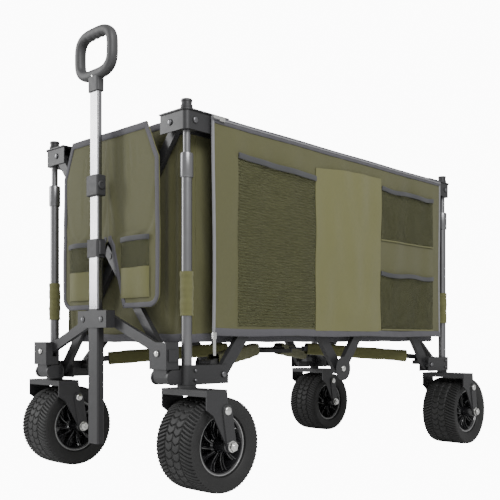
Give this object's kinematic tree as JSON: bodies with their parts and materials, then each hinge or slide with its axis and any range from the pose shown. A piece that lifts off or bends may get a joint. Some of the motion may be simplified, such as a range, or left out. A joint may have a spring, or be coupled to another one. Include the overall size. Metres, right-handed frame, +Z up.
{
  "type": "folding camp wagon",
  "caption": "Folding camp wagon: scissor frame on wide tyres, fabric bag with a pocketed side organizer and an upright telescopic handle.",
  "frame": {"origin": "on the floor under the middle of the whole object's box", "axes": "+Z up, -Y the front with the handle, +X the side with the organizer"},
  "size_m": [0.678, 1.2454, 1.0139],
  "materials": {
    "frame": "satin",
    "polished_tube": "polished",
    "black_plastic": "matte",
    "rim": "gloss",
    "tyre": "matte",
    "fabric": "woven"
  },
  "bodies": {
    "root": {"lower_bracket_fr": "frame", "post_fr": "frame"},
    "arm_r1_outer": {"side_arm_r1_outer": "frame"},
    "arm_r1_inner": {"side_arm_r1_inner": "frame"},
    "arm_r2_inner": {"side_arm_r2_inner": "frame"},
    "arm_r2_outer": {"side_arm_r2_outer": "frame"},
    "top_fr": {"top_bracket_fr": "frame", "bag_wall_front": "fabric", "bag_wall_right": "fabric", "side_organizer": "fabric", "organizer_lower_pocket": "fabric", "front_apron": "fabric"},
    "corner_rr": {"lower_bracket_rr": "frame", "post_rr": "frame", "fork_rr": "frame"},
    "top_rr": {"top_bracket_rr": "frame", "bag_wall_rear": "fabric"},
    "end_front_outer": {"end_arm_front_outer": "frame"},
    "end_front_inner": {"end_arm_front_inner": "frame"},
    "corner_fl": {"lower_bracket_fl": "frame", "post_fl": "frame"},
    "top_fl": {"top_bracket_fl": "frame", "bag_wall_left": "fabric"},
    "arm_l1_outer": {"side_arm_l1_outer": "frame"},
    "arm_l1_inner": {"side_arm_l1_inner": "frame"},
    "arm_l2_inner": {"side_arm_l2_inner": "frame"},
    "arm_l2_outer": {"side_arm_l2_outer": "frame"},
    "corner_rl": {"lower_bracket_rl": "frame", "post_rl": "frame", "fork_rl": "frame"},
    "top_rl": {"top_bracket_rl": "frame"},
    "end_rear_outer": {"end_arm_rear_outer": "frame"},
    "end_rear_inner": {"end_arm_rear_inner": "frame"},
    "base_fr": {"base_arm_fr": "frame"},
    "base_fl": {"base_arm_fl": "frame"},
    "base_rr": {"base_arm_rr": "frame"},
    "base_rl": {"base_arm_rl": "frame"},
    "base_hub": {"base_hub": "frame"},
    "floor_right": {"bag_floor_right": "fabric"},
    "floor_left": {"bag_floor_left": "fabric"},
    "handle_box_r": {"handle_box_r": "black_plastic"},
    "handle_box_l": {"handle_box_l": "black_plastic"},
    "handle_arm_r": {"handle_arm_r": "frame"},
    "handle_arm_l": {"handle_arm_l": "frame"},
    "handle_hub": {"handle_hub": "frame", "handle_tube_lower": "frame"},
    "handle_middle": {"handle_tube_middle": "frame", "handle_latch": "black_plastic"},
    "handle_upper": {"handle_tube_upper": "polished_tube", "handle_grip": "black_plastic"},
    "wheel_fr": {"tyre_fr": "tyre", "rim_fr": "rim"},
    "swivel_fr": {"fork_fr": "frame"},
    "wheel_fl": {"tyre_fl": "tyre", "rim_fl": "rim"},
    "swivel_fl": {"fork_fl": "frame"},
    "wheel_rr": {"tyre_rr": "tyre", "rim_rr": "rim"},
    "wheel_rl": {"tyre_rl": "tyre", "rim_rl": "rim"}
  },
  "joints": [
    {"name": "fold", "type": "hinge", "parent": "root", "child": "arm_r1_outer", "pos_m": [0.2545, -0.4693, 0.243], "axis": [1, 0, 0], "range_deg": [0, 27], "deforming": ["bag_wall_front", "bag_wall_rear", "bag_wall_right", "bag_wall_left", "bag_floor_right", "bag_floor_left", "side_organizer", "organizer_lower_pocket", "front_apron"]},
    {"name": "fold_arm_r1_inner", "type": "hinge", "parent": "arm_r1_outer", "child": "arm_r1_inner", "pos_m": [0.2415, -0.2553, 0.5055], "axis": [1, 0, 0], "range_deg": [-54.05, 0]},
    {"name": "fold_top_fr", "type": "hinge", "parent": "arm_r1_inner", "child": "top_fr", "pos_m": [0.2415, -0.4693, 0.768], "axis": [1, 0, 0], "range_deg": [0, 27.03]},
    {"name": "fold_arm_r2_inner", "type": "hinge", "parent": "arm_r1_outer", "child": "arm_r2_inner", "pos_m": [0.2415, -0.0413, 0.768], "axis": [1, 0, 0], "range_deg": [-54.05, 0]},
    {"name": "fold_corner_rr", "type": "hinge", "parent": "arm_r2_inner", "child": "corner_rr", "pos_m": [0.2415, 0.3867, 0.243], "axis": [1, 0, 0], "range_deg": [0, 27.03]},
    {"name": "fold_arm_r2_outer", "type": "hinge", "parent": "arm_r2_inner", "child": "arm_r2_outer", "pos_m": [0.2545, 0.1727, 0.5055], "axis": [1, 0, 0], "range_deg": [0, 54.05]},
    {"name": "fold_top_rr", "type": "hinge", "parent": "arm_r2_outer", "child": "top_rr", "pos_m": [0.2545, 0.3867, 0.768], "axis": [1, 0, 0], "range_deg": [-27.03, 0]},
    {"name": "fold_end_front_outer", "type": "hinge", "parent": "root", "child": "end_front_outer", "pos_m": [0.214, -0.5658, 0.243], "axis": [0, 1, 0], "range_deg": [0, 27.03]},
    {"name": "fold_end_front_inner", "type": "hinge", "parent": "end_front_outer", "child": "end_front_inner", "pos_m": [0, -0.5528, 0.5055], "axis": [0, 1, 0], "range_deg": [-54.05, 0]},
    {"name": "fold_corner_fl", "type": "hinge", "parent": "end_front_inner", "child": "corner_fl", "pos_m": [-0.214, -0.5528, 0.243], "axis": [0, 1, 0], "range_deg": [0, 27.03]},
    {"name": "fold_top_fl", "type": "hinge", "parent": "end_front_outer", "child": "top_fl", "pos_m": [-0.214, -0.5658, 0.768], "axis": [0, 1, 0], "range_deg": [-27.03, 0]},
    {"name": "fold_arm_l1_outer", "type": "hinge", "parent": "corner_fl", "child": "arm_l1_outer", "pos_m": [-0.2545, -0.4693, 0.243], "axis": [1, 0, 0], "range_deg": [0, 27.03]},
    {"name": "fold_arm_l1_inner", "type": "hinge", "parent": "arm_l1_outer", "child": "arm_l1_inner", "pos_m": [-0.2415, -0.2553, 0.5055], "axis": [1, 0, 0], "range_deg": [-54.05, 0]},
    {"name": "fold_arm_l2_inner", "type": "hinge", "parent": "arm_l1_outer", "child": "arm_l2_inner", "pos_m": [-0.2415, -0.0413, 0.768], "axis": [1, 0, 0], "range_deg": [-54.05, 0]},
    {"name": "fold_corner_rl", "type": "hinge", "parent": "arm_l2_inner", "child": "corner_rl", "pos_m": [-0.2415, 0.3867, 0.243], "axis": [1, 0, 0], "range_deg": [0, 27.03]},
    {"name": "fold_arm_l2_outer", "type": "hinge", "parent": "arm_l2_inner", "child": "arm_l2_outer", "pos_m": [-0.2545, 0.1727, 0.5055], "axis": [1, 0, 0], "range_deg": [0, 54.05]},
    {"name": "fold_top_rl", "type": "hinge", "parent": "arm_l2_outer", "child": "top_rl", "pos_m": [-0.2545, 0.3867, 0.768], "axis": [1, 0, 0], "range_deg": [-27.03, 0]},
    {"name": "fold_end_rear_outer", "type": "hinge", "parent": "corner_rr", "child": "end_rear_outer", "pos_m": [0.214, 0.4832, 0.243], "axis": [0, 1, 0], "range_deg": [0, 27.03]},
    {"name": "fold_end_rear_inner", "type": "hinge", "parent": "end_rear_outer", "child": "end_rear_inner", "pos_m": [0, 0.4702, 0.5055], "axis": [0, 1, 0], "range_deg": [-54.05, 0]},
    {"name": "fold_base_fr", "type": "hinge", "parent": "root", "child": "base_fr", "pos_m": [0.218, -0.4773, 0.265], "axis": [0.8944, 0.4472, 0], "range_deg": [0, 80.08]},
    {"name": "fold_base_fl", "type": "hinge", "parent": "corner_fl", "child": "base_fl", "pos_m": [-0.218, -0.4773, 0.265], "axis": [0.8944, -0.4472, 0], "range_deg": [0, 80.08]},
    {"name": "fold_base_rr", "type": "hinge", "parent": "corner_rr", "child": "base_rr", "pos_m": [0.218, 0.3947, 0.265], "axis": [-0.8944, 0.4472, 0], "range_deg": [0, 80.08]},
    {"name": "fold_base_rl", "type": "hinge", "parent": "corner_rl", "child": "base_rl", "pos_m": [-0.218, 0.3947, 0.265], "axis": [-0.8944, -0.4472, 0], "range_deg": [0, 80.08]},
    {"name": "fold_base_hub", "type": "slide", "parent": "root", "child": "base_hub", "axis": [0.3256, -0.6512, 0.6855], "range_m": [0, 0.43808]},
    {"name": "fold_floor_right", "type": "hinge", "parent": "base_hub", "child": "floor_right", "pos_m": [0, -0.0413, 0.312], "axis": [0, -1, 0], "range_deg": [0, 87.09]},
    {"name": "fold_floor_left", "type": "hinge", "parent": "base_hub", "child": "floor_left", "pos_m": [0, -0.0413, 0.312], "axis": [0, 1, 0], "range_deg": [0, 87.09]},
    {"name": "handle_tilt", "type": "hinge", "parent": "root", "child": "handle_box_r", "pos_m": [0.205, -0.5973, 0.239], "axis": [1, 0, 0], "range_deg": [0, 60]},
    {"name": "handle_tilt_left", "type": "hinge", "parent": "corner_fl", "child": "handle_box_l", "pos_m": [-0.205, -0.5973, 0.239], "axis": [1, 0, 0], "range_deg": [0, 60.06]},
    {"name": "fold_handle_arm_r", "type": "hinge", "parent": "handle_box_r", "child": "handle_arm_r", "pos_m": [0.222, -0.5922, 0.288], "axis": [0, 1, 0], "range_deg": [0, 55.62]},
    {"name": "fold_handle_arm_l", "type": "hinge", "parent": "handle_box_l", "child": "handle_arm_l", "pos_m": [-0.222, -0.5922, 0.288], "axis": [0, -1, 0], "range_deg": [0, 55.62]},
    {"name": "fold_handle_hub", "type": "hinge", "parent": "handle_arm_r", "child": "handle_hub", "pos_m": [0.0345, -0.5922, 0.362], "axis": [0, 1, 0], "range_deg": [-55.62, 0]},
    {"name": "handle_middle_slide", "type": "slide", "parent": "handle_hub", "child": "handle_middle", "axis": [0, 0, 1], "range_m": [0, 0.2]},
    {"name": "handle_upper_slide", "type": "slide", "parent": "handle_middle", "child": "handle_upper", "axis": [0, 0, 1], "range_m": [0, 0.3]},
    {"name": "swivel_fr", "type": "hinge", "parent": "root", "child": "swivel_fr", "pos_m": [0.248, -0.5593, 0.2], "axis": [0, 0, 1], "continuous": true},
    {"name": "roll_fr", "type": "hinge", "parent": "swivel_fr", "child": "wheel_fr", "pos_m": [0.263, -0.5133, 0.1], "axis": [1, 0, 0], "continuous": true},
    {"name": "swivel_fl", "type": "hinge", "parent": "corner_fl", "child": "swivel_fl", "pos_m": [-0.248, -0.5593, 0.2], "axis": [0, 0, 1], "continuous": true},
    {"name": "roll_fl", "type": "hinge", "parent": "swivel_fl", "child": "wheel_fl", "pos_m": [-0.263, -0.5133, 0.1], "axis": [1, 0, 0], "continuous": true},
    {"name": "roll_rr", "type": "hinge", "parent": "corner_rr", "child": "wheel_rr", "pos_m": [0.263, 0.5227, 0.1], "axis": [1, 0, 0], "continuous": true},
    {"name": "roll_rl", "type": "hinge", "parent": "corner_rl", "child": "wheel_rl", "pos_m": [-0.263, 0.5227, 0.1], "axis": [1, 0, 0], "continuous": true}
  ],
  "couplings": [
    {"joint": "fold_arm_r1_inner", "follows": "fold", "ratio": -2},
    {"joint": "fold_top_fr", "follows": "fold", "ratio": 1},
    {"joint": "fold_arm_r2_inner", "follows": "fold", "ratio": -2},
    {"joint": "fold_corner_rr", "follows": "fold", "ratio": 1},
    {"joint": "fold_arm_r2_outer", "follows": "fold", "ratio": 2},
    {"joint": "fold_top_rr", "follows": "fold", "ratio": -1},
    {"joint": "fold_end_front_outer", "follows": "fold", "ratio": 1},
    {"joint": "fold_end_front_inner", "follows": "fold", "ratio": -2},
    {"joint": "fold_corner_fl", "follows": "fold", "ratio": 1},
    {"joint": "fold_top_fl", "follows": "fold", "ratio": -1},
    {"joint": "fold_arm_l1_outer", "follows": "fold", "ratio": 1},
    {"joint": "fold_arm_l1_inner", "follows": "fold", "ratio": -2},
    {"joint": "fold_arm_l2_inner", "follows": "fold", "ratio": -2},
    {"joint": "fold_corner_rl", "follows": "fold", "ratio": 1},
    {"joint": "fold_arm_l2_outer", "follows": "fold", "ratio": 2},
    {"joint": "fold_top_rl", "follows": "fold", "ratio": -1},
    {"joint": "fold_end_rear_outer", "follows": "fold", "ratio": 1},
    {"joint": "fold_end_rear_inner", "follows": "fold", "ratio": -2},
    {"joint": "fold_base_fr", "follows": "fold", "ratio": 2.963},
    {"joint": "fold_base_fl", "follows": "fold", "ratio": 2.963},
    {"joint": "fold_base_rr", "follows": "fold", "ratio": 2.963},
    {"joint": "fold_base_rl", "follows": "fold", "ratio": 2.963},
    {"joint": "fold_base_hub", "follows": "fold", "m_per_rad": 0.9287},
    {"joint": "fold_floor_right", "follows": "fold", "ratio": 3.2222},
    {"joint": "fold_floor_left", "follows": "fold", "ratio": 3.2222},
    {"joint": "handle_tilt_left", "follows": "handle_tilt", "ratio": 1},
    {"joint": "fold_handle_arm_r", "follows": "fold", "ratio": 2.0579},
    {"joint": "fold_handle_arm_l", "follows": "fold", "ratio": 2.0579},
    {"joint": "fold_handle_hub", "follows": "fold", "ratio": -2.0579}
  ]
}
